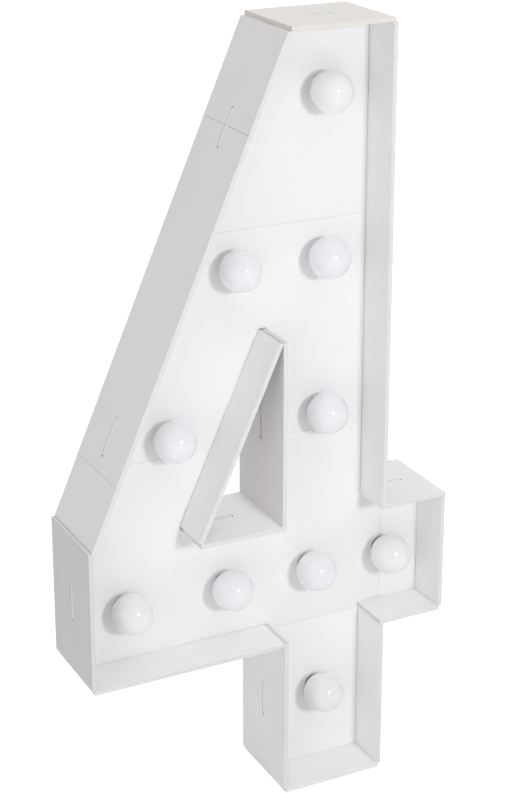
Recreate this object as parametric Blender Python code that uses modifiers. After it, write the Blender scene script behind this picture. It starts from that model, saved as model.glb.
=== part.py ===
"""Light-up marquee number: a figure four of slotted foam board with ten globe lamps.

Metres, +Z up. The number stands on its foot and faces -Y. The origin is on the ground, below the
middle of its outline and half-way through its depth.
"""

import math
from dataclasses import dataclass

import bmesh
import bpy
from mathutils import Matrix, Vector

# Overall sizes, measured over the outer faces of the boards
HEIGHT = 0.914
DEPTH = 0.110
LEFT_REACH = 0.2385
FOOT_WIDTH = 0.1315
ARM_REACH = 0.080
FOOT_HEIGHT = 0.194
BAR_HEIGHT = 0.1535
LEFT_END_RISE = 0.0179
TOP_WIDTH = 0.1326

# Boards
BOARD = 0.005
CLEARANCE = 0.0003
SEAM_GAP = 0.00012
WELD_DISTANCE = 0.000003
LAP_INSET = 0.003
CAP_RIGHT_INSET = 0.0028
CAP_LEFT_INSET = 0.0046
KNEE_STEP = 0.0039
KNEE_GAP = 0.0008
FOOT_SEAM_DROP = 0.0015
SLANT_SEAM_PAST_TAB = 0.0018

# Window: the see-through triangle, measured over the faces that look into it
STEM_WIDTH = 0.1353
WINDOW_WIDTH = 0.099
WINDOW_WALL_PROUD = 0.001
WINDOW_HEAD_GAP = 0.001
WINDOW_BASE_LAP = 0.002

# Heights between the bar's top and the figure's top, as shares of that rise
window_share = 0.3875
middle_seam_share = 0.1562
top_seam_share = 0.5984
upper_tab_share = 0.8022
stem_middle_tab_share = 0.3769
top_lamp_share = 0.8591
shoulder_lamp_share = 0.5296
waist_lamp_share = 0.2041

# Other places, as shares of the stretch that each lies on
window_slant_tab_share = 0.695
window_base_tab_share = 0.4715
foot_tab_share = 0.5129
left_end_tab_share = 0.523
arm_seam_share = 0.296
stem_column_share = 0.473
shoulder_column_share = 0.708
waist_column_share = 0.503
foot_lamp_share = 0.5345
bar_column_shares = (0.8622, 0.5867, 0.3453)
arm_column_share = 0.304

# Tabs on the face boards and their slots in the walls
LONG_TAB = 0.042
SLANT_TAB = 0.0442
SHORT_TAB = 0.024
WINDOW_BASE_TAB = 0.0195
TAB_SETBACK = 0.0005
WINDOW_TAB_SETBACK = 0.0015
SLOT_END_ROOM = 0.0016
SLOT_RELIEF_RADIUS = 0.003
RELIEF_SEGMENTS = 6
CUT_OVERRUN = 0.002
TAB_ROOT = 0.010
SEAM_TAB_GAP = 0.0005
MIDDLE_TAB_RISE = 0.037
CAP_TAB_OFFSET = 0.002

# Lamps
GLOBE_RADIUS = 0.0238
GLOBE_WALL = 0.0012
GLOBE_STANDOFF = 0.024
GLOBE_NECK_RADIUS = 0.0108
GLOBE_NECK_LENGTH = 0.0165
LAMP_HOLE_RADIUS = 0.0128
HOLDER_FLANGE_RADIUS = 0.022
HOLDER_FLANGE = 0.002
HOLDER_WALL = 0.002
HOLDER_FIT = 0.0004
HOLDER_CHAMBER = 0.008
HOLDER_STEP = 0.0025
WIRE_HOLE_RADIUS = 0.0019
LED_BOARD_THICKNESS = 0.0016
LED_RADIUS = 0.0025
LED_HEIGHT = 0.0035
GLOBE_STEPS = 20
HOLDER_STEPS = 16
LED_STEPS = 12
HOLE_SEGMENTS = 28
GLOBE_ARCS = 7
GLOBE_INNER_ARCS = 4

# Battery box, held to the back of the face boards in the arm, where it steadies the number
CELL_RADIUS = 0.00725
CELL_LENGTH = 0.0490
CELL_NUB_RADIUS = 0.00275
CELL_NUB = 0.0015
CELL_PITCH = 0.0150
CELL_ROWS = 3
CELL_LAYERS = 2
CELL_STEPS = 20
BOX_WALL = 0.0015
CONTACT_ROOM = 0.0017
SWITCH_BAY = 0.011
KNOB_WIDTH = 0.0045
KNOB_LENGTH = 0.006
KNOB_HEIGHT = 0.0035
KNOB_TRAVEL = 0.004
COVER_THICKNESS = 0.0016
COVER_GRIP_WIDTH = 0.014
COVER_GRIP_HEIGHT = 0.0012
COVER_GRIP_RIB = 0.0010
COVER_GRIP_COUNT = 4
BOX_LEDGE_GAP = 0.0025
BOX_END_GAP = 0.002
BOX_LAMP_GAP = 0.0028

# Places that follow from the sizes above
X_LEFT = -(LEFT_REACH + FOOT_WIDTH + ARM_REACH) / 2
X_FOOT = X_LEFT + LEFT_REACH
X_STEM = X_FOOT + FOOT_WIDTH
X_ARM = X_STEM + ARM_REACH
X_WINDOW = X_STEM - STEM_WIDTH
X_ARM_SEAM = X_STEM + ARM_REACH * arm_seam_share
Z_BAR = FOOT_HEIGHT
Z_BAR_TOP = FOOT_HEIGHT + BAR_HEIGHT
Z_LEFT_TOP = Z_BAR_TOP + LEFT_END_RISE
Z_CAP_UNDER = HEIGHT - BOARD
Z_FOOT_SEAM = Z_BAR - FOOT_SEAM_DROP
RISE = HEIGHT - Z_BAR_TOP
Z_MIDDLE_SEAM = Z_BAR_TOP + RISE * middle_seam_share
Z_TOP_SEAM = Z_BAR_TOP + RISE * top_seam_share
HALF_BOARD = BOARD / 2
SLANT_BOTTOM = Vector((X_LEFT + KNEE_STEP, Z_LEFT_TOP + KNEE_GAP))
SLANT_TOP = Vector((X_STEM - TOP_WIDTH, Z_CAP_UNDER))
SLANT_ALONG = (SLANT_TOP - SLANT_BOTTOM).normalized()
SLANT_INWARD = Vector((SLANT_ALONG.y, -SLANT_ALONG.x))
WINDOW_HEIGHT = RISE * window_share
WINDOW_WALL_HEIGHT = WINDOW_HEIGHT + WINDOW_WALL_PROUD
WINDOW_APEX = Vector((X_WINDOW, Z_BAR_TOP + WINDOW_HEIGHT))
WINDOW_FOOT = Vector((X_WINDOW - WINDOW_WIDTH, Z_BAR_TOP))
WINDOW_DOWN = (WINDOW_FOOT - WINDOW_APEX).normalized()
WINDOW_FACING = Vector((-WINDOW_DOWN.y, WINDOW_DOWN.x))
WINDOW_SLANT_END = WINDOW_FOOT + WINDOW_DOWN * (SEAM_GAP / WINDOW_DOWN.y)
X_WINDOW_BASE = WINDOW_FOOT.x - WINDOW_BASE_LAP

# Places of the battery box, which hangs under the arm's ledge
CELL_BAY_LENGTH = CELL_LENGTH + CELL_NUB + 2 * (CONTACT_ROOM + CLEARANCE)
CELL_BAY_HEIGHT = (CELL_ROWS - 1) * CELL_PITCH + 2 * (CELL_RADIUS + CLEARANCE)
CELL_BAY_DEPTH = (CELL_LAYERS - 1) * CELL_PITCH + 2 * (CELL_RADIUS + CLEARANCE)
BOX_RIGHT = X_ARM - BOARD - BOX_END_GAP
BOX_LEFT = BOX_RIGHT - CELL_BAY_LENGTH - SWITCH_BAY - 2 * BOX_WALL
BOX_TOP = Z_BAR_TOP - BOARD - BOX_LEDGE_GAP
BOX_BOTTOM = BOX_TOP - CELL_BAY_HEIGHT - 2 * BOX_WALL
BOX_FRONT = HALF_BOARD + CLEARANCE
BAY_LEFT = BOX_LEFT + BOX_WALL
BAY_RIGHT = BAY_LEFT + CELL_BAY_LENGTH
BAY_BOTTOM = BOX_BOTTOM + BOX_WALL
BAY_TOP = BOX_TOP - BOX_WALL
BAY_FRONT = BOX_FRONT + BOX_WALL
BOX_BACK = BAY_FRONT + CELL_BAY_DEPTH
SWITCH_X = (BAY_RIGHT + BOX_RIGHT) / 2
SWITCH_Z = (BOX_BOTTOM + BOX_TOP) / 2


def on_slant(height):
    """The point of the slanted wall's outer face at this height."""
    return SLANT_BOTTOM + SLANT_ALONG * ((height - SLANT_BOTTOM.y) / SLANT_ALONG.y)


def on_window_slant(height):
    """The point of the slanted window wall's window face at this height."""
    return WINDOW_APEX + WINDOW_DOWN * ((height - WINDOW_APEX.y) / WINDOW_DOWN.y)


def lamp_places():
    """Each lamp's X and Z, from the top down. The bar's row keeps clear below the battery box."""
    column = X_STEM - STEM_WIDTH * stem_column_share
    top = Z_BAR_TOP + RISE * top_lamp_share
    shoulder = Z_BAR_TOP + RISE * shoulder_lamp_share
    waist = Z_BAR_TOP + RISE * waist_lamp_share
    bar = BOX_BOTTOM - BOX_LAMP_GAP - HOLDER_FLANGE_RADIUS
    foot = FOOT_HEIGHT * foot_lamp_share
    shoulder_width = X_STEM - on_slant(shoulder).x
    waist_width = on_window_slant(waist).x - on_slant(waist).x
    bar_width = X_ARM - X_LEFT
    return (
        (column, top),
        (X_STEM - shoulder_width * shoulder_column_share, shoulder),
        (column, shoulder),
        (column, waist),
        (on_window_slant(waist).x - waist_width * waist_column_share, waist),
        *((X_ARM - bar_width * share, bar) for share in bar_column_shares),
        (X_STEM + ARM_REACH * arm_column_share, bar),
        (column, foot),
    )


LAMPS = lamp_places()


def clear_scene():
    for obj in list(bpy.data.objects):
        bpy.data.objects.remove(obj, do_unlink=True)


def new_collection(name):
    collection = bpy.data.collections.new(name)
    bpy.context.scene.collection.children.link(collection)
    return collection


def new_material(name, color, roughness, metallic=0.0):
    material = bpy.data.materials.new(name)
    material.use_nodes = True
    shader = material.node_tree.nodes["Principled BSDF"]
    shader.inputs["Base Color"].default_value = (*color, 1.0)
    shader.inputs["Roughness"].default_value = roughness
    shader.inputs["Metallic"].default_value = metallic
    return material


def place(name, mesh, matrix, look, collection):
    """One named object; look is the colour, roughness and metallic value of its own material."""
    obj = bpy.data.objects.new(name, mesh)
    obj.matrix_world = matrix
    collection.objects.link(obj)
    mesh.materials.clear()
    mesh.materials.append(new_material(f"{name}_finish", *look))
    return obj


def hide_cutter(obj):
    obj.hide_render = True
    obj.display_type = "WIRE"
    return obj


def boolean(obj, operation, other):
    modifier = obj.modifiers.new(operation.lower(), "BOOLEAN")
    modifier.operation = operation
    modifier.solver = "EXACT"
    modifier.object = other


def plate_mesh(name, outlines, thickness):
    """Flat outlines in local X and Y, extruded to the thickness about local Z = 0."""
    curve = bpy.data.curves.new(name, "CURVE")
    curve.dimensions = "2D"
    curve.fill_mode = "BOTH"
    curve.extrude = thickness / 2
    for outline in outlines:
        spline = curve.splines.new("POLY")
        spline.points.add(len(outline) - 1)
        for point, (x, y) in zip(spline.points, outline):
            point.co = (x, y, 0.0, 1.0)
        spline.use_cyclic_u = True
    guide = bpy.data.objects.new(name, curve)
    bpy.context.scene.collection.objects.link(guide)
    bpy.context.view_layer.update()
    graph = bpy.context.evaluated_depsgraph_get()
    mesh = bpy.data.meshes.new_from_object(guide.evaluated_get(graph))
    bpy.data.objects.remove(guide, do_unlink=True)
    welded = bmesh.new()
    welded.from_mesh(mesh)
    bmesh.ops.remove_doubles(welded, verts=welded.verts, dist=WELD_DISTANCE)
    bmesh.ops.recalc_face_normals(welded, faces=welded.faces)
    welded.to_mesh(mesh)
    welded.free()
    return mesh


def block_mesh(name, blocks):
    """Blocks in one mesh, each given as its low and high corner."""
    mesh = bpy.data.meshes.new(name)
    solid = bmesh.new()
    for low, high in blocks:
        low, high = Vector(low), Vector(high)
        verts = bmesh.ops.create_cube(solid, size=1.0)["verts"]
        bmesh.ops.scale(solid, vec=high - low, verts=verts)
        bmesh.ops.translate(solid, vec=(low + high) / 2, verts=verts)
    solid.to_mesh(mesh)
    solid.free()
    return mesh


def relieved_slot(middle, tab_length):
    """Slot outline for a tab, along local X, with a round relief cut at each end."""
    half_width = HALF_BOARD + CLEARANCE
    half_length = tab_length / 2 + SLOT_END_ROOM - SLOT_RELIEF_RADIUS
    bite = math.asin(half_width / SLOT_RELIEF_RADIUS)
    points = []
    for side in (1, -1):
        start = -math.pi + bite if side == 1 else bite
        sweep = 2 * (math.pi - bite)
        for step in range(RELIEF_SEGMENTS + 1):
            angle = start + sweep * step / RELIEF_SEGMENTS
            points.append(
                (
                    middle + side * half_length + SLOT_RELIEF_RADIUS * math.cos(angle),
                    SLOT_RELIEF_RADIUS * math.sin(angle),
                )
            )
    return points


def wall_matrix(start, end):
    """Local X runs from start to end, local Y through the depth, local Z out of the outer face."""
    along = (end - start).normalized()
    outward = Vector((-along.y, along.x))
    origin = start - outward * (BOARD / 2)
    return Matrix(
        (
            (along.x, 0.0, outward.x, origin.x),
            (0.0, 1.0, 0.0, 0.0),
            (along.y, 0.0, outward.y, origin.y),
            (0.0, 0.0, 0.0, 1.0),
        )
    )


def add_wall(name, start, end, slots, parts, cutters, inner_gain=0.0):
    """A side wall whose outer face runs from start to end, with a slot for each tab given.

    A sloping cut makes the inner face longer at its end, by the inner gain.
    """
    start, end = Vector(start), Vector(end)
    matrix = wall_matrix(start, end)
    length = (end - start).length
    section = [
        (0.0, -HALF_BOARD),
        (length + inner_gain, -HALF_BOARD),
        (length, HALF_BOARD),
        (0.0, HALF_BOARD),
    ]
    turned_up = matrix @ Matrix.Rotation(math.pi / 2, 4, "X")
    wall = place(name, plate_mesh(name, [section], DEPTH), turned_up, BOARD_LOOK, parts)
    along = (end - start).normalized()
    shapes = [relieved_slot((tab.point - start).dot(along), tab.length) for tab in slots]
    if shapes:
        mesh = plate_mesh(f"{name}_slots", shapes, BOARD + 2 * CUT_OVERRUN)
        cutter = hide_cutter(place(f"{name}_slots", mesh, matrix, BOARD_LOOK, cutters))
        boolean(wall, "DIFFERENCE", cutter)


@dataclass(frozen=True)
class Tab:
    """A face board's tab: its middle on a wall's outer face, and how far its end stays back."""

    point: Vector
    outward: Vector
    length: float
    setback: float = TAB_SETBACK


UP, DOWN = Vector((0, 1)), Vector((0, -1))
RIGHT, LEFT = Vector((1, 0)), Vector((-1, 0))

SLANT_UPPER_TAB = Tab(
    on_slant(Z_BAR_TOP + RISE * upper_tab_share), -SLANT_INWARD, SLANT_TAB
)
SLANT_MIDDLE_TAB = Tab(on_slant(Z_MIDDLE_SEAM + MIDDLE_TAB_RISE), -SLANT_INWARD, SLANT_TAB)
LEFT_END_TAB = Tab(
    Vector((X_LEFT, Z_BAR + (Z_LEFT_TOP - Z_BAR) * left_end_tab_share)), LEFT, LONG_TAB
)
CAP_TAB = Tab(Vector(((SLANT_TOP.x + X_STEM) / 2 + CAP_TAB_OFFSET, HEIGHT)), UP, SHORT_TAB)
STEM_UPPER_TAB = Tab(Vector((X_STEM, Z_BAR_TOP + RISE * upper_tab_share)), RIGHT, LONG_TAB)
STEM_MIDDLE_TAB = Tab(
    Vector((X_STEM, Z_BAR_TOP + RISE * stem_middle_tab_share)), RIGHT, LONG_TAB
)
ARM_TOP_TAB = Tab(Vector(((X_STEM + X_ARM) / 2, Z_BAR_TOP)), UP, SHORT_TAB)
ARM_END_TAB = Tab(Vector((X_ARM, (Z_BAR + Z_BAR_TOP) / 2)), RIGHT, LONG_TAB)
ARM_UNDER_TAB = Tab(Vector(((X_STEM + X_ARM) / 2, Z_BAR)), DOWN, SHORT_TAB)
FOOT_RIGHT_TAB = Tab(Vector((X_STEM, FOOT_HEIGHT * foot_tab_share)), RIGHT, LONG_TAB)
FOOT_BASE_TAB = Tab(Vector(((X_FOOT + X_STEM) / 2, 0.0)), DOWN, LONG_TAB)
FOOT_LEFT_TAB = Tab(Vector((X_FOOT, FOOT_HEIGHT * foot_tab_share)), LEFT, LONG_TAB)
BAR_UNDER_TAB = Tab(Vector(((X_LEFT + X_FOOT) / 2, Z_BAR)), DOWN, LONG_TAB)
WINDOW_RIGHT_TAB = Tab(
    Vector((X_WINDOW, Z_MIDDLE_SEAM + SEAM_TAB_GAP + CLEARANCE + LONG_TAB / 2)),
    LEFT,
    LONG_TAB,
    WINDOW_TAB_SETBACK,
)
WINDOW_SLANT_TAB = Tab(
    on_window_slant(Z_BAR_TOP + WINDOW_HEIGHT * window_slant_tab_share), WINDOW_FACING, LONG_TAB
)
WINDOW_BOTTOM_TAB = Tab(
    Vector((X_WINDOW - WINDOW_WIDTH * window_base_tab_share, Z_BAR_TOP)), UP, WINDOW_BASE_TAB
)

# Colour, roughness and metallic value of each finish
BOARD_LOOK = ((0.86, 0.86, 0.85), 0.75, 0.0)
GLOBE_LOOK = ((0.88, 0.88, 0.87), 0.22, 0.0)
HOLDER_LOOK = ((0.82, 0.82, 0.80), 0.45, 0.0)
LED_LOOK = ((0.85, 0.84, 0.74), 0.40, 0.0)
BOX_LOOK = ((0.80, 0.80, 0.79), 0.42, 0.0)
KNOB_LOOK = ((0.16, 0.16, 0.17), 0.50, 0.0)
CELL_LOOK = ((0.42, 0.44, 0.46), 0.35, 0.6)


def add_outer_walls(parts, cutters):
    """The strips round the outline, clockwise from the left end. Level strips lap the upright ones."""
    left_bottom = Z_BAR + BOARD + CLEARANCE
    under_cap = Z_CAP_UNDER - CLEARANCE
    seam_low = on_slant(Z_MIDDLE_SEAM)
    seam_high = SLANT_UPPER_TAB.point + SLANT_ALONG * SLANT_SEAM_PAST_TAB
    seam_gap = SLANT_ALONG * CLEARANCE
    slant_end = on_slant(under_cap)
    walls = (
        ("left_end_wall", (X_LEFT, left_bottom), (X_LEFT, Z_LEFT_TOP), [LEFT_END_TAB]),
        ("slant_wall_lower", SLANT_BOTTOM, seam_low - seam_gap, []),
        ("slant_wall_middle", seam_low, seam_high, [SLANT_MIDDLE_TAB, SLANT_UPPER_TAB]),
        ("slant_wall_upper", seam_high + seam_gap, slant_end, [SLANT_UPPER_TAB]),
        (
            "top_cap",
            (SLANT_TOP.x + CAP_LEFT_INSET, HEIGHT),
            (X_STEM - CAP_RIGHT_INSET, HEIGHT),
            [CAP_TAB],
        ),
        (
            "stem_right_wall",
            (X_STEM, under_cap),
            (X_STEM, Z_BAR_TOP - BOARD),
            [STEM_UPPER_TAB, STEM_MIDDLE_TAB],
        ),
        ("arm_top_wall", (X_STEM + CLEARANCE, Z_BAR_TOP), (X_ARM, Z_BAR_TOP), [ARM_TOP_TAB]),
        (
            "arm_end_wall",
            (X_ARM, Z_BAR_TOP - BOARD - CLEARANCE),
            (X_ARM, Z_BAR + BOARD + CLEARANCE),
            [ARM_END_TAB],
        ),
        (
            "arm_underside_wall",
            (X_ARM - LAP_INSET, Z_BAR),
            (X_STEM - BOARD, Z_BAR),
            [ARM_UNDER_TAB],
        ),
        (
            "foot_right_wall",
            (X_STEM, Z_BAR - CLEARANCE),
            (X_STEM, BOARD + CLEARANCE),
            [FOOT_RIGHT_TAB],
        ),
        (
            "foot_base_wall",
            (X_STEM - LAP_INSET, 0.0),
            (X_FOOT + LAP_INSET, 0.0),
            [FOOT_BASE_TAB],
        ),
        (
            "foot_left_wall",
            (X_FOOT, BOARD + CLEARANCE),
            (X_FOOT, Z_BAR + BOARD),
            [FOOT_LEFT_TAB],
        ),
        (
            "bar_underside_wall",
            (X_FOOT - CLEARANCE, Z_BAR),
            (X_LEFT + LAP_INSET, Z_BAR),
            [BAR_UNDER_TAB],
        ),
    )
    level_cut_gain = BOARD * -SLANT_INWARD.y / SLANT_ALONG.y
    for name, start, end, slots in walls:
        gain = level_cut_gain if name == "slant_wall_upper" else 0.0
        add_wall(name, start, end, slots, parts, cutters, gain)


def add_window_walls(parts, cutters):
    """The lining of the window. Square-cut ends meet at its corners, with the sloping strip between."""
    add_wall(
        "window_right_wall",
        (X_WINDOW, Z_BAR_TOP + SEAM_GAP),
        (X_WINDOW, Z_BAR_TOP + WINDOW_WALL_HEIGHT),
        [WINDOW_RIGHT_TAB],
        parts,
        cutters,
    )
    add_wall(
        "window_base_wall",
        (X_WINDOW_BASE, Z_BAR_TOP),
        (X_WINDOW + BOARD, Z_BAR_TOP),
        [WINDOW_BOTTOM_TAB],
        parts,
        cutters,
    )
    add_wall(
        "window_slant_wall",
        WINDOW_APEX - WINDOW_DOWN * (SEAM_GAP / WINDOW_DOWN.x),
        WINDOW_SLANT_END,
        [WINDOW_SLANT_TAB],
        parts,
        cutters,
    )


def face_matrix():
    """Local X and Y become the number's X and Z, and local Z points forward."""
    return Matrix.Rotation(math.pi / 2, 4, "X")


def add_lamp_hole_cutter(cutters):
    holes = bmesh.new()
    for x, z in LAMPS:
        matrix = Matrix.Translation((x, 0.0, z)) @ face_matrix()
        bmesh.ops.create_cone(
            holes,
            cap_ends=True,
            segments=HOLE_SEGMENTS,
            radius1=LAMP_HOLE_RADIUS,
            radius2=LAMP_HOLE_RADIUS,
            depth=BOARD + 2 * CUT_OVERRUN,
            matrix=matrix,
        )
    mesh = bpy.data.meshes.new("lamp_holes")
    holes.to_mesh(mesh)
    holes.free()
    return hide_cutter(place("lamp_holes", mesh, Matrix.Identity(4), BOARD_LOOK, cutters))


def add_window_cutter(cutters):
    """The window's hole in the face boards, just clear of the backs of its lining."""
    reach = BOARD + CLEARANCE
    right = X_WINDOW + reach
    bottom = Z_BAR_TOP - reach
    head = Z_BAR_TOP + WINDOW_WALL_HEIGHT + WINDOW_HEAD_GAP
    foot_line = WINDOW_SLANT_END - WINDOW_FACING * reach + WINDOW_DOWN * CLEARANCE
    outline = [
        (X_WINDOW_BASE - CLEARANCE, bottom),
        foot_line,
        foot_line + WINDOW_DOWN * ((head - foot_line.y) / WINDOW_DOWN.y),
        (right, head),
        (right, bottom),
    ]
    mesh = plate_mesh("window_hole", [outline], BOARD + 2 * CUT_OVERRUN)
    return hide_cutter(place("window_hole", mesh, face_matrix(), BOARD_LOOK, cutters))


def add_tabs(panel, tabs, cutters):
    """Joins each tab to the panel, from inside its edge out through its slot in the wall."""
    for number, tab in enumerate(tabs, start=1):
        along = Vector((tab.outward.y, -tab.outward.x))
        matrix = wall_matrix(tab.point, tab.point + along)
        name = f"{panel.name}_tab_{number}"
        low = (-tab.length / 2, -HALF_BOARD, HALF_BOARD - TAB_ROOT)
        high = (tab.length / 2, HALF_BOARD, HALF_BOARD - tab.setback)
        mesh = block_mesh(name, [(low, high)])
        block = hide_cutter(place(name, mesh, matrix, BOARD_LOOK, cutters))
        boolean(panel, "UNION", block)


def slant_inside(height):
    """The face boards' sloping edge at this height, just clear of the slanted wall's inner face."""
    edge = on_slant(height).x + (BOARD + CLEARANCE) / SLANT_INWARD.x
    return Vector((edge, height))


def add_face_panels(parts, cutters):
    """Five face boards at mid-depth, butted at the seams, their edges just inside the walls."""
    reach = BOARD + CLEARANCE
    left = X_LEFT + reach
    foot = X_FOOT + reach
    stem = X_STEM - reach
    arm = X_ARM - reach
    bottom = Z_BAR + reach
    ledge = Z_BAR_TOP - reach
    top = Z_CAP_UNDER - CLEARANCE
    arm_edge = X_ARM_SEAM + SEAM_GAP
    top_seam = Z_TOP_SEAM + SEAM_GAP
    middle_seam = Z_MIDDLE_SEAM + SEAM_GAP
    neck = Tab(Vector(((foot + stem) / 2, Z_FOOT_SEAM + SEAM_GAP)), DOWN, stem - foot, 0.0)
    knee = Z_LEFT_TOP + (left - slant_inside(Z_LEFT_TOP).x) * (SLANT_ALONG.y / SLANT_ALONG.x)
    panels = {
        "face_panel_top": (
            [slant_inside(top_seam), slant_inside(top), (stem, top), (stem, top_seam)],
            [SLANT_UPPER_TAB, CAP_TAB, STEM_UPPER_TAB],
        ),
        "face_panel_middle": (
            [
                slant_inside(middle_seam),
                slant_inside(Z_TOP_SEAM),
                (stem, Z_TOP_SEAM),
                (stem, middle_seam),
            ],
            [SLANT_MIDDLE_TAB, STEM_MIDDLE_TAB, WINDOW_RIGHT_TAB, WINDOW_SLANT_TAB],
        ),
        "face_panel_lower": (
            [
                (left, bottom),
                (left, knee),
                slant_inside(Z_MIDDLE_SEAM),
                (stem, Z_MIDDLE_SEAM),
                (stem, ledge),
                (X_ARM_SEAM, ledge),
                (X_ARM_SEAM, bottom),
            ],
            [LEFT_END_TAB, BAR_UNDER_TAB, WINDOW_BOTTOM_TAB, neck],
        ),
        "face_panel_arm": (
            [(arm_edge, bottom), (arm_edge, ledge), (arm, ledge), (arm, bottom)],
            [ARM_TOP_TAB, ARM_END_TAB, ARM_UNDER_TAB],
        ),
        "face_panel_foot": (
            [(foot, reach), (foot, Z_FOOT_SEAM), (stem, Z_FOOT_SEAM), (stem, reach)],
            [FOOT_LEFT_TAB, FOOT_RIGHT_TAB, FOOT_BASE_TAB],
        ),
    }
    lamp_holes = add_lamp_hole_cutter(cutters)
    window_hole = add_window_cutter(cutters)
    for name, (outline, tabs) in panels.items():
        mesh = plate_mesh(name, [outline], BOARD)
        panel = place(name, mesh, face_matrix(), BOARD_LOOK, parts)
        boolean(panel, "DIFFERENCE", lamp_holes)
        if name in ("face_panel_middle", "face_panel_lower"):
            boolean(panel, "DIFFERENCE", window_hole)
        add_tabs(panel, tabs, cutters)


def turned_mesh(name, profile, closed):
    """The wire profile of a turned piece, as (radius, height) points in local X and Z."""
    mesh = bpy.data.meshes.new(name)
    wire = bmesh.new()
    points = [wire.verts.new((radius, 0.0, height)) for radius, height in profile]
    for first, second in zip(points, points[1:]):
        wire.edges.new((first, second))
    if closed:
        wire.edges.new((points[-1], points[0]))
    wire.to_mesh(mesh)
    wire.free()
    return mesh


def turn(obj, steps):
    """Sweeps the object's profile round its local Z axis."""
    modifier = obj.modifiers.new("turn", "SCREW")
    modifier.axis = "Z"
    modifier.steps = steps
    modifier.render_steps = steps
    modifier.use_merge_vertices = True
    modifier.merge_threshold = WELD_DISTANCE
    modifier.use_smooth_shade = True
    return obj


def arc(radius, height, start, end, count):
    """Points of an arc about (0, height), angles in radians from local +Z, ends included."""
    return [
        (
            radius * math.sin(start + (end - start) * step / count),
            height + radius * math.cos(start + (end - start) * step / count),
        )
        for step in range(count + 1)
    ]


def globe_profile():
    """A hollow globe with a short neck, its middle at the local origin."""
    inner = GLOBE_RADIUS - GLOBE_WALL
    neck_inner = GLOBE_NECK_RADIUS - GLOBE_WALL
    outer_end = math.pi - math.asin(GLOBE_NECK_RADIUS / GLOBE_RADIUS)
    inner_end = math.pi - math.asin(neck_inner / inner)
    outside = arc(GLOBE_RADIUS, 0.0, 0.0, outer_end, GLOBE_ARCS)
    mouth = outside[-1][1] - GLOBE_NECK_LENGTH
    inside = arc(inner, 0.0, inner_end, 0.0, GLOBE_INNER_ARCS)
    outside[0] = (0.0, GLOBE_RADIUS)
    inside[-1] = (0.0, inner)
    return outside + [(GLOBE_NECK_RADIUS, mouth), (neck_inner, mouth)] + inside


def globe_mouth():
    """Height of the neck's open end, from the globe's middle."""
    reach = math.sqrt(GLOBE_RADIUS**2 - GLOBE_NECK_RADIUS**2)
    return -reach - GLOBE_NECK_LENGTH


# Heights of the lamp's pieces above the back of the face board, which is negative behind it
GLOBE_HEIGHT = BOARD + GLOBE_STANDOFF
LED_SEAT = GLOBE_HEIGHT + globe_mouth() - CLEARANCE - LED_BOARD_THICKNESS
SOCKET_RADIUS = GLOBE_NECK_RADIUS + HOLDER_FIT


def holder_profile():
    """A flanged cup behind the hole, with a socket for the globe's neck and a wire chamber."""
    step_height = LED_SEAT - CLEARANCE
    floor = step_height - HOLDER_CHAMBER
    chamber_radius = SOCKET_RADIUS - HOLDER_STEP
    socket_outer = SOCKET_RADIUS + HOLDER_WALL
    flange_back = -CLEARANCE - HOLDER_FLANGE
    return [
        (WIRE_HOLE_RADIUS, floor),
        (chamber_radius, floor),
        (chamber_radius, step_height),
        (SOCKET_RADIUS, step_height),
        (SOCKET_RADIUS, -CLEARANCE),
        (HOLDER_FLANGE_RADIUS, -CLEARANCE),
        (HOLDER_FLANGE_RADIUS, flange_back),
        (socket_outer, flange_back),
        (socket_outer, floor - HOLDER_WALL),
        (WIRE_HOLE_RADIUS, floor - HOLDER_WALL),
    ]


def led_profile():
    """A round circuit board with one lens at its middle, its back at local Z = 0."""
    board_radius = SOCKET_RADIUS - HOLDER_FIT
    shoulder = LED_BOARD_THICKNESS + LED_HEIGHT - LED_RADIUS
    return [
        (0.0, LED_BOARD_THICKNESS + LED_HEIGHT),
        (LED_RADIUS * math.sin(math.pi / 4), shoulder + LED_RADIUS * math.cos(math.pi / 4)),
        (LED_RADIUS, shoulder),
        (LED_RADIUS, LED_BOARD_THICKNESS),
        (board_radius, LED_BOARD_THICKNESS),
        (board_radius, 0.0),
        (0.0, 0.0),
    ]


def add_lamps(parts):
    """Each lamp is a globe in front, a holder on the back of the board and a light board inside."""
    back = HALF_BOARD
    for number, (x, z) in enumerate(LAMPS, start=1):
        for name, profile, closed, height, steps, look in (
            ("globe", globe_profile(), False, GLOBE_HEIGHT, GLOBE_STEPS, GLOBE_LOOK),
            ("lamp_holder", holder_profile(), True, 0.0, HOLDER_STEPS, HOLDER_LOOK),
            ("led_board", led_profile(), False, LED_SEAT, LED_STEPS, LED_LOOK),
        ):
            title = f"{name}_{number}"
            matrix = Matrix.Translation((x, back - height, z)) @ face_matrix()
            turn(place(title, turned_mesh(title, profile, closed), matrix, look, parts), steps)


def add_block(name, low, high, look, collection):
    """A block between two corners, with its origin at its middle."""
    low, high = Vector(low), Vector(high)
    middle = (low + high) / 2
    mesh = block_mesh(name, [(low - middle, high - middle)])
    return place(name, mesh, Matrix.Translation(middle), look, collection)


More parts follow.
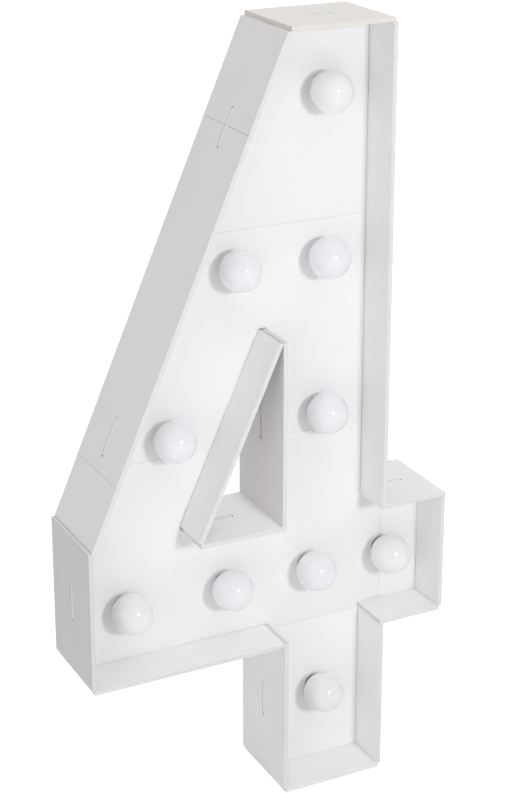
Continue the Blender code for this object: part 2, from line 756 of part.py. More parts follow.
def add_battery_box(parts, cutters):
    """A tray open to the back, with a closed switch bay at its right end and a pocket for the knob."""
    box = add_block(
        "battery_box",
        (BOX_LEFT, BOX_FRONT, BOX_BOTTOM),
        (BOX_RIGHT, BOX_BACK, BOX_TOP),
        BOX_LOOK,
        parts,
    )
    bay = add_block(
        "cell_bay",
        (BAY_LEFT, BAY_FRONT, BAY_BOTTOM),
        (BAY_RIGHT, BOX_BACK + CUT_OVERRUN, BAY_TOP),
        BOX_LOOK,
        cutters,
    )
    boolean(box, "DIFFERENCE", hide_cutter(bay))
    pocket_half = (KNOB_LENGTH + KNOB_TRAVEL) / 2 + CLEARANCE
    pocket = add_block(
        "knob_pocket",
        (SWITCH_X - KNOB_WIDTH / 2 - CLEARANCE, BOX_BACK - KNOB_HEIGHT, SWITCH_Z - pocket_half),
        (SWITCH_X + KNOB_WIDTH / 2 + CLEARANCE, BOX_BACK + CUT_OVERRUN, SWITCH_Z + pocket_half),
        BOX_LOOK,
        cutters,
    )
    boolean(box, "DIFFERENCE", hide_cutter(pocket))


def add_switch_knob(parts, cutters):
    """The knob rests at the lower end of its pocket, with a raised thumb rib."""
    low = SWITCH_Z - (KNOB_LENGTH + KNOB_TRAVEL) / 2
    proud = KNOB_HEIGHT / 2
    knob = add_block(
        "switch_knob",
        (SWITCH_X - KNOB_WIDTH / 2, BOX_BACK - KNOB_HEIGHT + CLEARANCE, low),
        (SWITCH_X + KNOB_WIDTH / 2, BOX_BACK + proud / 2, low + KNOB_LENGTH),
        KNOB_LOOK,
        parts,
    )
    rib = KNOB_LENGTH / 3
    middle = low + KNOB_LENGTH / 2
    ridge = add_block(
        "knob_rib",
        (SWITCH_X - KNOB_WIDTH / 2, BOX_BACK, middle - rib / 2),
        (SWITCH_X + KNOB_WIDTH / 2, BOX_BACK + proud, middle + rib / 2),
        KNOB_LOOK,
        cutters,
    )
    boolean(knob, "UNION", hide_cutter(ridge))


def add_battery_cover(parts, cutters):
    """A snap-on lid over the cell bay, with a ribbed finger grip at its left end."""
    under = BOX_BACK + CLEARANCE
    outside = under + COVER_THICKNESS
    cover = add_block(
        "battery_cover",
        (BOX_LEFT, under, BOX_BOTTOM),
        (BAY_RIGHT + BOX_WALL, outside, BOX_TOP),
        BOX_LOOK,
        parts,
    )
    lip_low = (BAY_LEFT + CLEARANCE, under - BOX_WALL, BAY_BOTTOM + CLEARANCE)
    lip_high = (BAY_LEFT + BOX_WALL, outside - COVER_THICKNESS / 2, BAY_TOP - CLEARANCE)
    lip = add_block("cover_lip", lip_low, lip_high, BOX_LOOK, cutters)
    boolean(cover, "UNION", hide_cutter(lip))
    pitch = COVER_GRIP_WIDTH / COVER_GRIP_COUNT
    half = (BOX_TOP - BOX_BOTTOM) / 4
    for number in range(COVER_GRIP_COUNT):
        left = BOX_LEFT + pitch * (number + 1)
        grip = add_block(
            f"cover_grip_{number + 1}",
            (left, under + COVER_THICKNESS / 2, SWITCH_Z - half),
            (left + COVER_GRIP_RIB, outside + COVER_GRIP_HEIGHT, SWITCH_Z + half),
            BOX_LOOK,
            cutters,
        )
        boolean(cover, "UNION", hide_cutter(grip))


def cell_profile():
    """A cylindrical cell with its positive nub at the top and its base at local Z = 0."""
    return [
        (0.0, CELL_LENGTH + CELL_NUB),
        (CELL_NUB_RADIUS, CELL_LENGTH + CELL_NUB),
        (CELL_NUB_RADIUS, CELL_LENGTH),
        (CELL_RADIUS, CELL_LENGTH),
        (CELL_RADIUS, 0.0),
        (0.0, 0.0),
    ]


def add_cells(parts):
    """Cells lying along X in two layers, each turned end for end from the next."""
    near = BAY_LEFT + CONTACT_ROOM + CLEARANCE
    far = near + CELL_LENGTH + CELL_NUB
    first = CLEARANCE + CELL_RADIUS
    for number in range(CELL_ROWS * CELL_LAYERS):
        layer, row = divmod(number, CELL_ROWS)
        y = BAY_FRONT + first + layer * CELL_PITCH
        z = BAY_BOTTOM + first + row * CELL_PITCH
        forward = (layer + row) % 2 == 0
        place_at = Matrix.Translation((near if forward else far, y, z))
        matrix = place_at @ Matrix.Rotation(math.pi / 2 if forward else -math.pi / 2, 4, "Y")
        title = f"battery_cell_{number + 1}"
        mesh = turned_mesh(title, cell_profile(), False)
        turn(place(title, mesh, matrix, CELL_LOOK, parts), CELL_STEPS)


def main():
    clear_scene()
    parts = new_collection("marquee_number_four")
    cutters = new_collection("cutters")
    add_outer_walls(parts, cutters)
    add_window_walls(parts, cutters)
    add_face_panels(parts, cutters)
    add_lamps(parts)
    add_battery_box(parts, cutters)
    add_battery_cover(parts, cutters)
    add_switch_knob(parts, cutters)
    add_cells(parts)


main()
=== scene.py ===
"""Looks of the light-up marquee number: paper-faced foam boards, opal globes and their fittings.

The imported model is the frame. Its boards, light boards, battery box and cells stay, with softened
edges and their own finishes. The globes and lamp holders are turned again in finer detail.
"""

import math

import bmesh
import bpy
from mathutils import Matrix, Vector


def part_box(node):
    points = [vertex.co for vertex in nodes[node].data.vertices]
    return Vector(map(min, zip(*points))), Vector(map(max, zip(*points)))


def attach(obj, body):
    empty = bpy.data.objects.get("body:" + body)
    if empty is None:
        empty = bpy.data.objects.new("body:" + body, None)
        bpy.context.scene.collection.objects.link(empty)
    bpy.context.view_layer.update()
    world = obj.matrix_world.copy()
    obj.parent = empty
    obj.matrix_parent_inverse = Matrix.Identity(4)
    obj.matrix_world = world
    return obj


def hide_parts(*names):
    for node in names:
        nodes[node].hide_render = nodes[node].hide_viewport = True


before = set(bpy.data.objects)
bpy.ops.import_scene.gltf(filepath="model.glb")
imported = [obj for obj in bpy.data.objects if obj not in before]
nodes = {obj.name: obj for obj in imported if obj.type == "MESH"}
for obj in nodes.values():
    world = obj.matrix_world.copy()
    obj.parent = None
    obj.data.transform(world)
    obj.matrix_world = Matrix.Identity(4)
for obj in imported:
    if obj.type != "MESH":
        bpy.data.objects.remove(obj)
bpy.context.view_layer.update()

# Camera: the photograph's place, direction and framing
CAMERA_EYE = Vector((-0.89140, -1.76712, 1.26832))
CAMERA_FORWARD = Vector((0.43586, 0.84007, -0.32297))
CAMERA_ROLL = math.radians(0.225)
CAMERA_LENS = 85.85
CAMERA_SENSOR = 36.0
CAMERA_SHIFT = (-0.0255, -0.1109)

# Lights: directions point from the number to each light, distances and sizes are in metres
STAGE_CENTRE = Vector((0.0, 0.0, 0.45))
KEY_TOWARD = Vector((0.100, -0.940, 0.325))
KEY_DISTANCE = 3.0
KEY_SIZE = 0.45
KEY_POWER = 29.5
SIDE_TOWARD = Vector((-0.932, -0.304, 0.200))
SIDE_DISTANCE = 2.6
SIDE_SIZE = 0.5
SIDE_POWER = 4.0
FRONT_TOP_TOWARD = Vector((0.08, -0.46, 0.88))
FRONT_TOP_POWER = 16.0
BACK_TOP_TOWARD = Vector((-0.10, 0.75, 0.65))
BACK_TOP_POWER = 22.0
LEFT_TOWARD = Vector((-0.80, -0.58, 0.12))
LEFT_POWER = 21.0
SOFT_DISTANCE = 3.5
SOFT_SIZE = 2.4

# Surroundings: the world's strength rises from low to high towards its bright side
WHITE = (1.0, 1.0, 1.0, 1.0)
BRIGHT_SIDE = (0.12, 0.66, 0.74)
WORLD_LOW = 0.10
WORLD_HIGH = 0.74
FLOOR_HALF = 20.0
FLOOR_CELLS = 4
FLOOR_DROP = 0.0002
FLOOR_BOUNCE = (0.90, 0.90, 0.90, 1.0)
FLOOR_SHOWN = (0.30, 0.30, 0.30, 1.0)
FLOOR_GLOW = 0.90

# Noise values mostly lie between these two
NOISE_LOW = 0.3
NOISE_HIGH = 0.7

# Boards: paper on the faces, and foam, a glue line and a paper liner on the cut edges
PAPER = (0.895, 0.897, 0.897)
PAPER_SHADE = (0.880, 0.881, 0.880)
FOAM = (0.748, 0.745, 0.732)
LINER_LINE = (0.675, 0.668, 0.652)
LINER = (0.795, 0.793, 0.782)
# The face panels' cut edges are lighter than the walls': partly their own colour, partly painted
# light that offsets the shade in the slots that hold their tabs
FACE_FOAM = (0.860, 0.857, 0.845)
FACE_LINER = (0.880, 0.878, 0.870)
FOAM_REACH = 0.70
LINE_REACH = 0.80
LINER_REACH = 0.88
LAYER_WANDER = 0.03
BLOTCH_LOW = 0.35
BLOTCH_HIGH = 0.65
PAPER_FACING = 0.80
CUT_FACING = 0.60
PAPER_ROUGHNESS = 0.62
CUT_ROUGHNESS = 0.92
BOARD_BEVEL = 0.00035
WELD_DISTANCE = 0.00001
SHARP_ANGLE = math.radians(40)
BOARDS = [
    name
    for name in nodes
    if name.endswith("_wall") or name.startswith(("slant_wall", "face_panel", "top_cap"))
]

# Shares of red, green and blue by board, for the paper and for the cut edges. Besides the boards'
# own tints they hold painted shade and painted light: boards facing away from the lights are
# painted darker, and inner floors, edges and some face panels lighter, to stand in for how the
# light falls on them
COOL = (0.985, 0.992, 1.0)
# The slanted walls' warm tint, painted darker as painted shade where these walls turn away from the
# lights
WARM_AND_PAINTED_SHADE = (0.925, 0.91, 0.895)
PLAIN = (1.0, 1.0, 1.0)
BOARD_TINTS_AND_PAINTED_SHADING = {
    "left_end_wall": (0.755, 0.735, 0.74),
    "top_cap": (0.995, 0.965, 0.94),
    "slant_wall_upper": WARM_AND_PAINTED_SHADE,
    "slant_wall_middle": WARM_AND_PAINTED_SHADE,
    "slant_wall_lower": WARM_AND_PAINTED_SHADE,
    "foot_left_wall": (0.94, 0.925, 0.935),
    "stem_right_wall": (0.995, 0.99, 0.998),
    "foot_right_wall": (1.055, 1.045, 1.055),
    "arm_end_wall": (1.035, 1.025, 1.03),
    "bar_underside_wall": (1.05, 1.045, 1.05),
    "arm_underside_wall": (1.05, 1.05, 1.055),
    "foot_base_wall": (1.05, 1.045, 1.055),
    "window_slant_wall": (0.99, 0.985, 0.995),
    "window_right_wall": (0.89, 0.855, 0.86),
    "window_base_wall": (1.06, 1.06, 1.065),
    "face_panel_top": (0.95, 0.955, 0.955),
    "face_panel_middle": (0.97, 0.975, 0.98),
    "face_panel_lower": (0.975, 0.98, 0.98),
    "face_panel_arm": (0.99, 0.995, 1.0),
    "face_panel_foot": (1.02, 1.02, 1.02),
}
# The top cap's warm edges are their own colour; the other edges are painted darker or lighter as
# painted shade and painted light
EDGE_TINTS_AND_PAINTED_SHADING = {
    "top_cap": (1.0, 0.96, 0.925),
    "left_end_wall": (0.925, 0.92, 0.915),
    "bar_underside_wall": (0.98, 0.98, 0.985),
    "arm_underside_wall": (1.02, 1.02, 1.025),
    "foot_base_wall": (1.12, 1.12, 1.12),
}

# Lamps, with the sizes that their solids' boxes don't tell
LAMP_COUNT = 10
NECK_RADIUS = 0.0108
SHELL_WALL = 0.0012
LIP_OUTER = 0.0004
LIP_INNER = 0.0003
FLANGE = 0.002
HOLDER_WALL = 0.002
SOCKET_RADIUS = 0.0112
CHAMBER_RADIUS = 0.0087
WIRE_HOLE_RADIUS = 0.0019
CLEARANCE = 0.0003
HOLDER_FILLET = 0.0007
HOLDER_WHITE = (0.82, 0.82, 0.80)
HOLDER_ROUGHNESS = 0.40
TURN_STEPS = 96
OUTSIDE_STEPS = 44
INSIDE_STEPS = 30
FILLET_STEPS = 4
FILLET_LIMIT = 0.45
OPAL_ROUGHNESS = (0.07, 0.11)
OPAL_TINTS = {
    "neutral": (0.915, 0.915, 0.913),
    "cool": (0.912, 0.903, 0.950),
    "warm": (0.898, 0.901, 0.889),
}
GLOBE_TINTS = {
    1: "neutral",
    2: "cool",
    3: "cool",
    4: "cool",
    5: "cool",
    6: "warm",
    7: "cool",
    8: "cool",
    9: "neutral",
    10: "warm",
}

# Moulded plastic: how far its grain takes the roughness down and up
GRAIN_SMOOTHER = 0.05
GRAIN_ROUGHER = 0.08

# Light boards: a lens, a ring of pads and white mask, at shares of the socket's radius
LENS = (0.88, 0.76, 0.30)
PADS = (0.62, 0.60, 0.55)
MASK = (0.84, 0.85, 0.84)
LENS_REACH = 0.20
PADS_FROM = 0.22
PADS_REACH = 0.30
MASK_FROM = 0.32
LENS_ROUGHNESS = 0.18
MASK_ROUGHNESS = 0.40
STAIN_SHARE = 0.12

# Battery box, with roughness, edge rounding and rounding steps for each moulding
BOX_WHITE = (0.80, 0.80, 0.79)
KNOB_BLACK = (0.045, 0.045, 0.05)
MOULDINGS = {
    "battery_box": (BOX_WHITE, 0.38, 0.0005, 3),
    "battery_cover": (BOX_WHITE, 0.36, 0.0003, 2),
    "switch_knob": (KNOB_BLACK, 0.42, 0.0003, 2),
}
CELL_BEVEL = 0.0005
CELL_ROUGHNESS = (0.26, 0.40)
SCUFF_LOW = 0.45
SCUFF_HIGH = 0.75
SCUFF_SHARE = 0.25
STEEL = (0.62, 0.61, 0.59)
SLEEVE = (0.16, 0.19, 0.23)
BAND = (0.60, 0.62, 0.64)
CELL_STOPS = [
    (0.0, STEEL),
    (0.035, SLEEVE),
    (0.70, SLEEVE),
    (0.71, BAND),
    (0.955, BAND),
    (0.965, STEEL),
]


class Finish:
    """A material's node tree, with one short call for each kind of node that the finishes share."""

    def __init__(self, name):
        self.material = bpy.data.materials.new(name)
        self.material.use_nodes = True
        self.tree = self.material.node_tree
        self.shader = self.tree.nodes["Principled BSDF"]
        place = self.tree.nodes.new("ShaderNodeTexCoord")
        self.point = place.outputs["Object"]
        self.normal = place.outputs["Normal"]

    def set(self, **values):
        """Settings that are the same all over the surface, such as Roughness=0.4."""
        for name, value in values.items():
            self.shader.inputs[name.replace("_", " ")].default_value = value

    def feed(self, name, source):
        """A setting that varies over the surface, from a node's output."""
        self.tree.links.new(source, self.shader.inputs[name])

    def fill(self, socket, value):
        """Links an output, or stores a plain value, with full alpha where it is a colour."""
        if isinstance(value, bpy.types.NodeSocket):
            self.tree.links.new(value, socket)
        elif socket.type == "RGBA":
            socket.default_value = (*value, 1.0)
        else:
            socket.default_value = value

    def add(self, kind, *inputs, **settings):
        """A node, its settings, and values or sockets for its inputs in order."""
        node = self.tree.nodes.new(kind)
        for name, value in settings.items():
            setattr(node, name, value)
        for socket, value in zip(node.inputs, inputs):
            self.fill(socket, value)
        return node

    def math(self, operation, *inputs):
        return self.add("ShaderNodeMath", *inputs, operation=operation).outputs[0]

    def dot(self, vector, direction):
        node = self.add("ShaderNodeVectorMath", vector, tuple(direction), operation="DOT_PRODUCT")
        return node.outputs["Value"]

    def noise(self, scale, detail=2.0):
        node = self.add("ShaderNodeTexNoise")
        self.fill(node.inputs["Vector"], self.point)
        self.fill(node.inputs["Scale"], scale)
        self.fill(node.inputs["Detail"], detail)
        return node.outputs["Fac"]

    def ramp(self, factor, stops):
        """Colours at positions from 0 to 1, given as (position, colour) pairs."""
        node = self.add("ShaderNodeValToRGB", factor)
        elements = node.color_ramp.elements
        while len(elements) < len(stops):
            elements.new(1.0)
        for element, (position, color) in zip(elements, stops):
            element.position = position
            element.color = (*color, 1.0)
        return node.outputs["Color"]

    def span(self, value, low, high, to_low=0.0, to_high=1.0):
        """The range from low to high, mapped to the range from to_low to to_high."""
        node = self.add("ShaderNodeMapRange", value, low, high, to_low, to_high)
        return node.outputs["Result"]

    def spread(self, noise, to_low=0.0, to_high=1.0):
        """The usual range of a noise, mapped to the range from to_low to to_high."""
        return self.span(noise, NOISE_LOW, NOISE_HIGH, to_low, to_high)

    def mix(self, factor, first, second):
        """A colour mix. The node's colour sockets are its inputs 6 and 7 and its output 2."""
        node = self.add("ShaderNodeMix", data_type="RGBA")
        for index, value in ((0, factor), (6, first), (7, second)):
            self.fill(node.inputs[index], value)
        return node.outputs[2]

    def bump(self, height, strength, distance):
        node = self.add("ShaderNodeBump")
        self.fill(node.inputs["Strength"], strength)
        self.fill(node.inputs["Distance"], distance)
        self.fill(node.inputs["Height"], height)
        return node.outputs["Normal"]


def toned(color, tone):
    """The colour, with red, green and blue each multiplied by the tone's share."""
    return tuple(share * level for share, level in zip(tone, color))


def clouded(finish, color, share, scale, detail):
    """The colour, varied by a noise between itself and that share of it."""
    cloud = finish.spread(finish.noise(scale, detail))
    return finish.mix(cloud, toned(color, (share, share, share)), color)


def board_plane(obj):
    """The paper faces' unit normal, the mid-plane's place along it, and half the thickness."""
    largest = max(obj.data.polygons, key=lambda polygon: polygon.area)
    normal = largest.normal.copy()
    reaches = [vertex.co.dot(normal) for vertex in obj.data.vertices]
    low, high = min(reaches), max(reaches)
    return normal, (low + high) / 2, (high - low) / 2


def board_finish(name):
    """White paper on the faces, and foam between two paper liners on every cut edge, each board
    toned by its own tint and by painted shade and light.
    """
    finish = Finish(f"{name}_paper")
    normal, middle, half = board_plane(nodes[name])
    facing = finish.math("ABSOLUTE", finish.dot(finish.normal, normal))
    edge = finish.span(facing, PAPER_FACING, CUT_FACING)
    depth = finish.math("SUBTRACT", finish.dot(finish.point, normal), middle)
    layer = finish.math("ABSOLUTE", finish.math("DIVIDE", depth, half))
    cells = finish.noise(scale=1500.0, detail=3.0)
    fibres = finish.noise(scale=2300.0, detail=4.0)
    blotches = finish.noise(scale=11.0, detail=3.0)
    # Painted shade and painted light: the tone darkens boards that face away from the lights and
    # lightens inner floors and panels, on top of their own tints
    tone = BOARD_TINTS_AND_PAINTED_SHADING.get(name, COOL)
    blotch = finish.span(blotches, BLOTCH_LOW, BLOTCH_HIGH)
    paper = finish.mix(blotch, toned(PAPER_SHADE, tone), toned(PAPER, tone))
    layers = (FOAM, LINER_LINE, LINER)
    if name.startswith("face_panel"):
        layers = (FACE_FOAM, FACE_LINER, FACE_LINER)
    # Edge tones paint shade on the left end's edges and light on the floor boards' edges, on top of
    # the cap's own warm tint
    foam, line, liner = (toned(color, EDGE_TINTS_AND_PAINTED_SHADING.get(name, PLAIN)) for color in layers)
    core = finish.ramp(
        finish.math("ADD", layer, finish.spread(cells, -LAYER_WANDER, LAYER_WANDER)),
        [(0.0, foam), (FOAM_REACH, foam), (LINE_REACH, line), (LINER_REACH, liner), (1.0, liner)],
    )
    rough = finish.mix(edge, finish.mix(0.5, fibres, blotches), cells)
    finish.feed("Base Color", finish.mix(edge, paper, core))
    finish.feed("Roughness", finish.span(edge, 0.0, 1.0, PAPER_ROUGHNESS, CUT_ROUGHNESS))
    finish.feed("Normal", finish.bump(rough, strength=0.10, distance=0.0002))
    finish.set(Specular_IOR_Level=0.35)
    return finish.material


def opal_finish(name, tint):
    """Glossy milky plastic that carries the light far enough to look evenly lit."""
    finish = Finish(f"{name}_opal")
    ripple = finish.noise(scale=45.0, detail=1.0)
    finish.feed("Base Color", clouded(finish, tint, share=0.985, scale=60.0, detail=2.0))
    finish.feed("Roughness", finish.spread(finish.noise(scale=180.0), *OPAL_ROUGHNESS))
    finish.feed("Normal", finish.bump(ripple, strength=0.03, distance=0.0006))
    finish.set(
        IOR=1.49,
        Subsurface_Weight=0.28,
        Subsurface_Radius=(1.0, 0.98, 0.96),
        Subsurface_Scale=0.004,
        Coat_Weight=0.35,
        Coat_Roughness=0.04,
    )
    return finish.material


def moulded_finish(name, color, roughness):
    """Satin moulded plastic with a fine spark-eroded grain."""
    finish = Finish(f"{name}_moulding")
    grain = finish.noise(scale=1900.0)
    finish.feed("Base Color", clouded(finish, color, share=0.97, scale=35.0, detail=3.0))
    finish.feed(
        "Roughness", finish.spread(grain, roughness - GRAIN_SMOOTHER, roughness + GRAIN_ROUGHER)
    )
    finish.feed("Normal", finish.bump(grain, strength=0.12, distance=0.0001))
    finish.set(Specular_IOR_Level=0.45)
    return finish.material


def light_board_finish(name, centre):
    """A white circuit board whose lens and pad ring stand out by their distance from the middle."""
    finish = Finish(f"{name}_circuit")
    offset = finish.add("ShaderNodeVectorMath", finish.point, tuple(centre), operation="SUBTRACT")
    flat = finish.add(
        "ShaderNodeVectorMath", offset.outputs[0], (1.0, 0.0, 1.0), operation="MULTIPLY"
    )
    radius = finish.add("ShaderNodeVectorMath", flat.outputs[0], operation="LENGTH")
    reach = finish.math("DIVIDE", radius.outputs["Value"], SOCKET_RADIUS)
    color = finish.ramp(
        reach,
        [
            (0.0, LENS),
            (LENS_REACH, LENS),
            (PADS_FROM, PADS),
            (PADS_REACH, PADS),
            (MASK_FROM, MASK),
            (1.0, MASK),
        ],
    )
    stains = finish.spread(finish.noise(scale=300.0), 0.0, STAIN_SHARE)
    finish.feed("Base Color", finish.mix(stains, color, PADS))
    finish.feed(
        "Roughness", finish.span(reach, LENS_REACH, MASK_FROM, LENS_ROUGHNESS, MASK_ROUGHNESS)
    )
    return finish.material


def cell_finish(name, low, high):
    """A plain wrapped cell: a grey sleeve with a pale band, and bright steel at both ends."""
    finish = Finish(f"{name}_sleeve")
    along = finish.dot(finish.point, (1.0, 0.0, 0.0))
    color = finish.ramp(finish.span(along, low, high), CELL_STOPS)
    scratches = finish.noise(scale=420.0, detail=4.0)
    scuffs = finish.span(scratches, SCUFF_LOW, SCUFF_HIGH, 0.0, SCUFF_SHARE)
    finish.feed("Base Color", finish.mix(scuffs, color, STEEL))
    finish.feed("Roughness", finish.spread(finish.noise(scale=90.0), *CELL_ROUGHNESS))
    finish.set(Metallic=0.55)
    return finish.material


def dress(name, material, bevel=0.0, segments=2):
    """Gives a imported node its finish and, where asked, slightly rounded edges."""
    obj = nodes[name]
    obj.data.materials.clear()
    obj.data.materials.append(material)
    weld = obj.modifiers.new("weld", "WELD")
    weld.merge_threshold = WELD_DISTANCE
    if bevel:
        rounding = obj.modifiers.new("rounding", "BEVEL")
        rounding.width = bevel
        rounding.segments = segments
        rounding.limit_method = "ANGLE"
        rounding.angle_limit = SHARP_ANGLE
        rounding.use_clamp_overlap = True
        rounding.harden_normals = True


def dress_boards():
    for name in BOARDS:
        dress(name, board_finish(name), BOARD_BEVEL)


def filleted(profile, radius):
    """The closed profile with each corner rounded, as far as its neighbours leave room."""
    points = []
    for index, corner in enumerate(profile):
        corner = Vector(corner)
        before = Vector(profile[index - 1]) - corner
        after = Vector(profile[(index + 1) % len(profile)]) - corner
        cut = min(radius, before.length * FILLET_LIMIT, after.length * FILLET_LIMIT)
        start = corner + before.normalized() * cut
        end = corner + after.normalized() * cut
        for step in range(FILLET_STEPS + 1):
            share = step / FILLET_STEPS
            points.append(start.lerp(corner, share).lerp(corner.lerp(end, share), share))
    return points


def turned(name, profile, closed):
    """A mesh turned round local Z from (radius, height) points, with its poles welded."""
    mesh = bpy.data.meshes.new(name)
    turning = bmesh.new()
    rim = [turning.verts.new((point[0], 0.0, point[1])) for point in profile]
    edges = [turning.edges.new(pair) for pair in zip(rim, rim[1:])]
    if closed:
        edges.append(turning.edges.new((rim[-1], rim[0])))
    bmesh.ops.spin(
        turning,
        geom=rim + edges,
        cent=(0.0, 0.0, 0.0),
        axis=(0.0, 0.0, 1.0),
        angle=math.tau,
        steps=TURN_STEPS,
        use_merge=True,
    )
    bmesh.ops.remove_doubles(turning, verts=turning.verts, dist=WELD_DISTANCE)
    bmesh.ops.recalc_face_normals(turning, faces=turning.faces)
    for face in turning.faces:
        face.smooth = True
    turning.to_mesh(mesh)
    turning.free()
    return mesh


def sphere_arc(radius, start, end, steps):
    """Points of an arc about the origin, angles in radians from local +Z."""
    angles = [start + (end - start) * step / steps for step in range(steps + 1)]
    return [(radius * math.sin(angle), radius * math.cos(angle)) for angle in angles]


def globe_profile(radius, mouth):
    """The globe's outside from its crown to its neck, the open mouth, and back up the inside."""
    inner = radius - SHELL_WALL
    neck_inner = NECK_RADIUS - SHELL_WALL
    shoulder = math.pi - math.asin(NECK_RADIUS / radius)
    inner_shoulder = math.pi - math.asin(neck_inner / inner)
    outside = sphere_arc(radius, 0.0, shoulder, OUTSIDE_STEPS)
    lip = [
        (NECK_RADIUS, mouth + LIP_OUTER),
        (NECK_RADIUS - LIP_OUTER, mouth),
        (neck_inner + LIP_INNER, mouth),
        (neck_inner, mouth + LIP_INNER),
    ]
    inside = sphere_arc(inner, inner_shoulder, 0.0, INSIDE_STEPS)
    outside[0], inside[-1] = (0.0, radius), (0.0, inner)
    return outside + lip + inside


def holder_profile(flange_radius, seat, base):
    """The flanged cup behind the board, in heights above its front, with rounded corners."""
    step = seat - CLEARANCE
    outer = SOCKET_RADIUS + HOLDER_WALL
    corners = [
        (WIRE_HOLE_RADIUS, base + HOLDER_WALL),
        (CHAMBER_RADIUS, base + HOLDER_WALL),
        (CHAMBER_RADIUS, step),
        (SOCKET_RADIUS, step),
        (SOCKET_RADIUS, 0.0),
        (flange_radius, 0.0),
        (flange_radius, -FLANGE),
        (outer, -FLANGE),
        (outer, base),
        (WIRE_HOLE_RADIUS, base),
    ]
    return filleted(corners, HOLDER_FILLET)


def stand_in(name, mesh, matrix, material, node, body):
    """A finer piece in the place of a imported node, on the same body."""
    piece = bpy.data.objects.new(name, mesh)
    bpy.context.scene.collection.objects.link(piece)
    piece.matrix_world = matrix
    piece.data.materials.append(material)
    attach(piece, body)
    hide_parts(node)


def dress_lamps():
    """Each globe and holder is turned about its solid's own axis, facing forward."""
    facing = Matrix.Rotation(math.pi / 2, 4, "X")
    for number in range(1, LAMP_COUNT + 1):
        globe = f"globe_{number}"
        low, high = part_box(globe)
        radius = (high.x - low.x) / 2
        centre = Vector(((low.x + high.x) / 2, low.y + radius, (low.z + high.z) / 2))
        stand_in(
            f"{globe}_shell",
            turned(f"{globe}_shell", globe_profile(radius, centre.y - high.y), False),
            Matrix.Translation(centre) @ facing,
            opal_finish(globe, OPAL_TINTS[GLOBE_TINTS[number]]),
            globe,
            globe,
        )
        light_board = f"led_board_{number}"
        board_low, board_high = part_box(light_board)
        holder = f"lamp_holder_{number}"
        low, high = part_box(holder)
        profile = holder_profile((high.x - low.x) / 2, low.y - board_high.y, low.y - high.y)
        stand_in(
            f"{holder}_shell",
            turned(f"{holder}_shell", profile, True),
            Matrix.Translation((centre.x, low.y, centre.z)) @ facing,
            moulded_finish(holder, HOLDER_WHITE, HOLDER_ROUGHNESS),
            holder,
            "letter",
        )
        dress(light_board, light_board_finish(light_board, (board_low + board_high) / 2))


def dress_power():
    for name, (color, roughness, bevel, segments) in MOULDINGS.items():
        dress(name, moulded_finish(name, color, roughness), bevel, segments)
    for name in nodes:
        if name.startswith("battery_cell"):
            low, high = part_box(name)
            dress(name, cell_finish(name, low.x, high.x), CELL_BEVEL)


def add_camera():
    data = bpy.data.cameras.new("photo_view")
    data.lens = CAMERA_LENS
    data.sensor_width = CAMERA_SENSOR
    data.shift_x, data.shift_y = CAMERA_SHIFT
    camera = bpy.data.objects.new("photo_view", data)
    bpy.context.scene.collection.objects.link(camera)
    aim = CAMERA_FORWARD.to_track_quat("-Z", "Y").to_matrix().to_4x4()
    roll = Matrix.Rotation(CAMERA_ROLL, 4, "Z")
    camera.matrix_world = Matrix.Translation(CAMERA_EYE) @ aim @ roll
    bpy.context.scene.camera = camera


def add_light(name, toward, distance, size, power, diffuse, glossy):
    """A square soft light that looks at the number from that direction."""
    data = bpy.data.lights.new(name, "AREA")
    data.size = size
    data.energy = power
    light = bpy.data.objects.new(name, data)
    bpy.context.scene.collection.objects.link(light)
    direction = toward.normalized()
    aim = (-direction).to_track_quat("-Z", "Y").to_matrix().to_4x4()
    light.matrix_world = Matrix.Translation(STAGE_CENTRE + direction * distance) @ aim
    light.visible_camera = False
    light.visible_diffuse = diffuse
    light.visible_glossy = glossy


def blend_by_camera(tree, others, camera, surface):
    """Sends one shader to the camera's own rays and the other to all the rest."""
    path = tree.nodes.new("ShaderNodeLightPath")
    blend = tree.nodes.new("ShaderNodeMixShader")
    tree.links.new(path.outputs["Is Camera Ray"], blend.inputs[0])
    tree.links.new(others.outputs[0], blend.inputs[1])
    tree.links.new(camera.outputs[0], blend.inputs[2])
    tree.links.new(blend.outputs[0], surface)


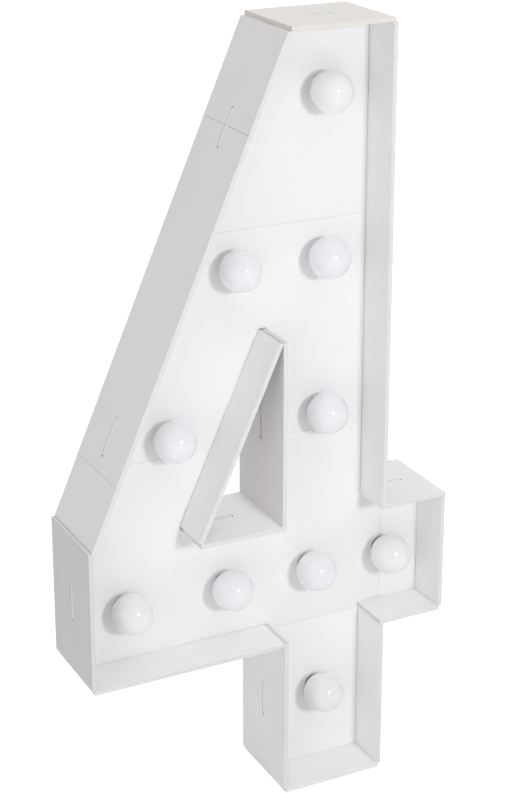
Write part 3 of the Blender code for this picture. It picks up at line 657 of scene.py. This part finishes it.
def add_world():
    """A white studio, brightest overhead and behind, seen as pure white behind the number."""
    world = bpy.data.worlds.new("studio")
    bpy.context.scene.world = world
    world.use_nodes = True
    tree = world.node_tree
    lit = tree.nodes["Background"]
    lit.inputs["Color"].default_value = WHITE
    place = tree.nodes.new("ShaderNodeTexCoord")
    toward = tree.nodes.new("ShaderNodeVectorMath")
    toward.operation = "DOT_PRODUCT"
    toward.inputs[1].default_value = BRIGHT_SIDE
    rise = tree.nodes.new("ShaderNodeMapRange")
    rise.inputs["From Min"].default_value = -1.0
    rise.inputs["To Min"].default_value = WORLD_LOW
    rise.inputs["To Max"].default_value = WORLD_HIGH
    tree.links.new(place.outputs["Generated"], toward.inputs[0])
    tree.links.new(toward.outputs["Value"], rise.inputs["Value"])
    tree.links.new(rise.outputs["Result"], lit.inputs["Strength"])
    seen = tree.nodes.new("ShaderNodeBackground")
    seen.inputs["Color"].default_value = WHITE
    blend_by_camera(tree, lit, seen, tree.nodes["World Output"].inputs["Surface"])


def add_floor():
    """A plain white floor that shows only a faint contact shadow."""
    mesh = bpy.data.meshes.new("floor")
    surface = bmesh.new()
    bmesh.ops.create_grid(
        surface, x_segments=FLOOR_CELLS, y_segments=FLOOR_CELLS, size=FLOOR_HALF
    )
    surface.to_mesh(mesh)
    surface.free()
    floor = bpy.data.objects.new("floor", mesh)
    bpy.context.scene.collection.objects.link(floor)
    floor.location.z = -FLOOR_DROP
    material = bpy.data.materials.new("floor_white")
    material.use_nodes = True
    tree = material.node_tree
    tree.nodes.remove(tree.nodes["Principled BSDF"])
    bounce = tree.nodes.new("ShaderNodeBsdfDiffuse")
    bounce.inputs["Color"].default_value = FLOOR_BOUNCE
    shown = tree.nodes.new("ShaderNodeBsdfDiffuse")
    shown.inputs["Color"].default_value = FLOOR_SHOWN
    glow = tree.nodes.new("ShaderNodeEmission")
    glow.inputs["Strength"].default_value = FLOOR_GLOW
    lifted = tree.nodes.new("ShaderNodeAddShader")
    tree.links.new(shown.outputs[0], lifted.inputs[0])
    tree.links.new(glow.outputs[0], lifted.inputs[1])
    blend_by_camera(tree, bounce, lifted, tree.nodes["Material Output"].inputs["Surface"])
    floor.data.materials.append(material)


add_camera()
dress_boards()
dress_lamps()
dress_power()
add_world()
add_floor()
add_light("key", KEY_TOWARD, KEY_DISTANCE, KEY_SIZE, KEY_POWER, True, True)
add_light("front_top", FRONT_TOP_TOWARD, SOFT_DISTANCE, SOFT_SIZE, FRONT_TOP_POWER, True, False)
add_light("back_top", BACK_TOP_TOWARD, SOFT_DISTANCE, SOFT_SIZE, BACK_TOP_POWER, True, False)
add_light("left", LEFT_TOWARD, SOFT_DISTANCE, SOFT_SIZE, LEFT_POWER, True, False)
add_light("side", SIDE_TOWARD, SIDE_DISTANCE, SIDE_SIZE, SIDE_POWER, False, True)
bpy.context.scene.view_settings.view_transform = "Standard"
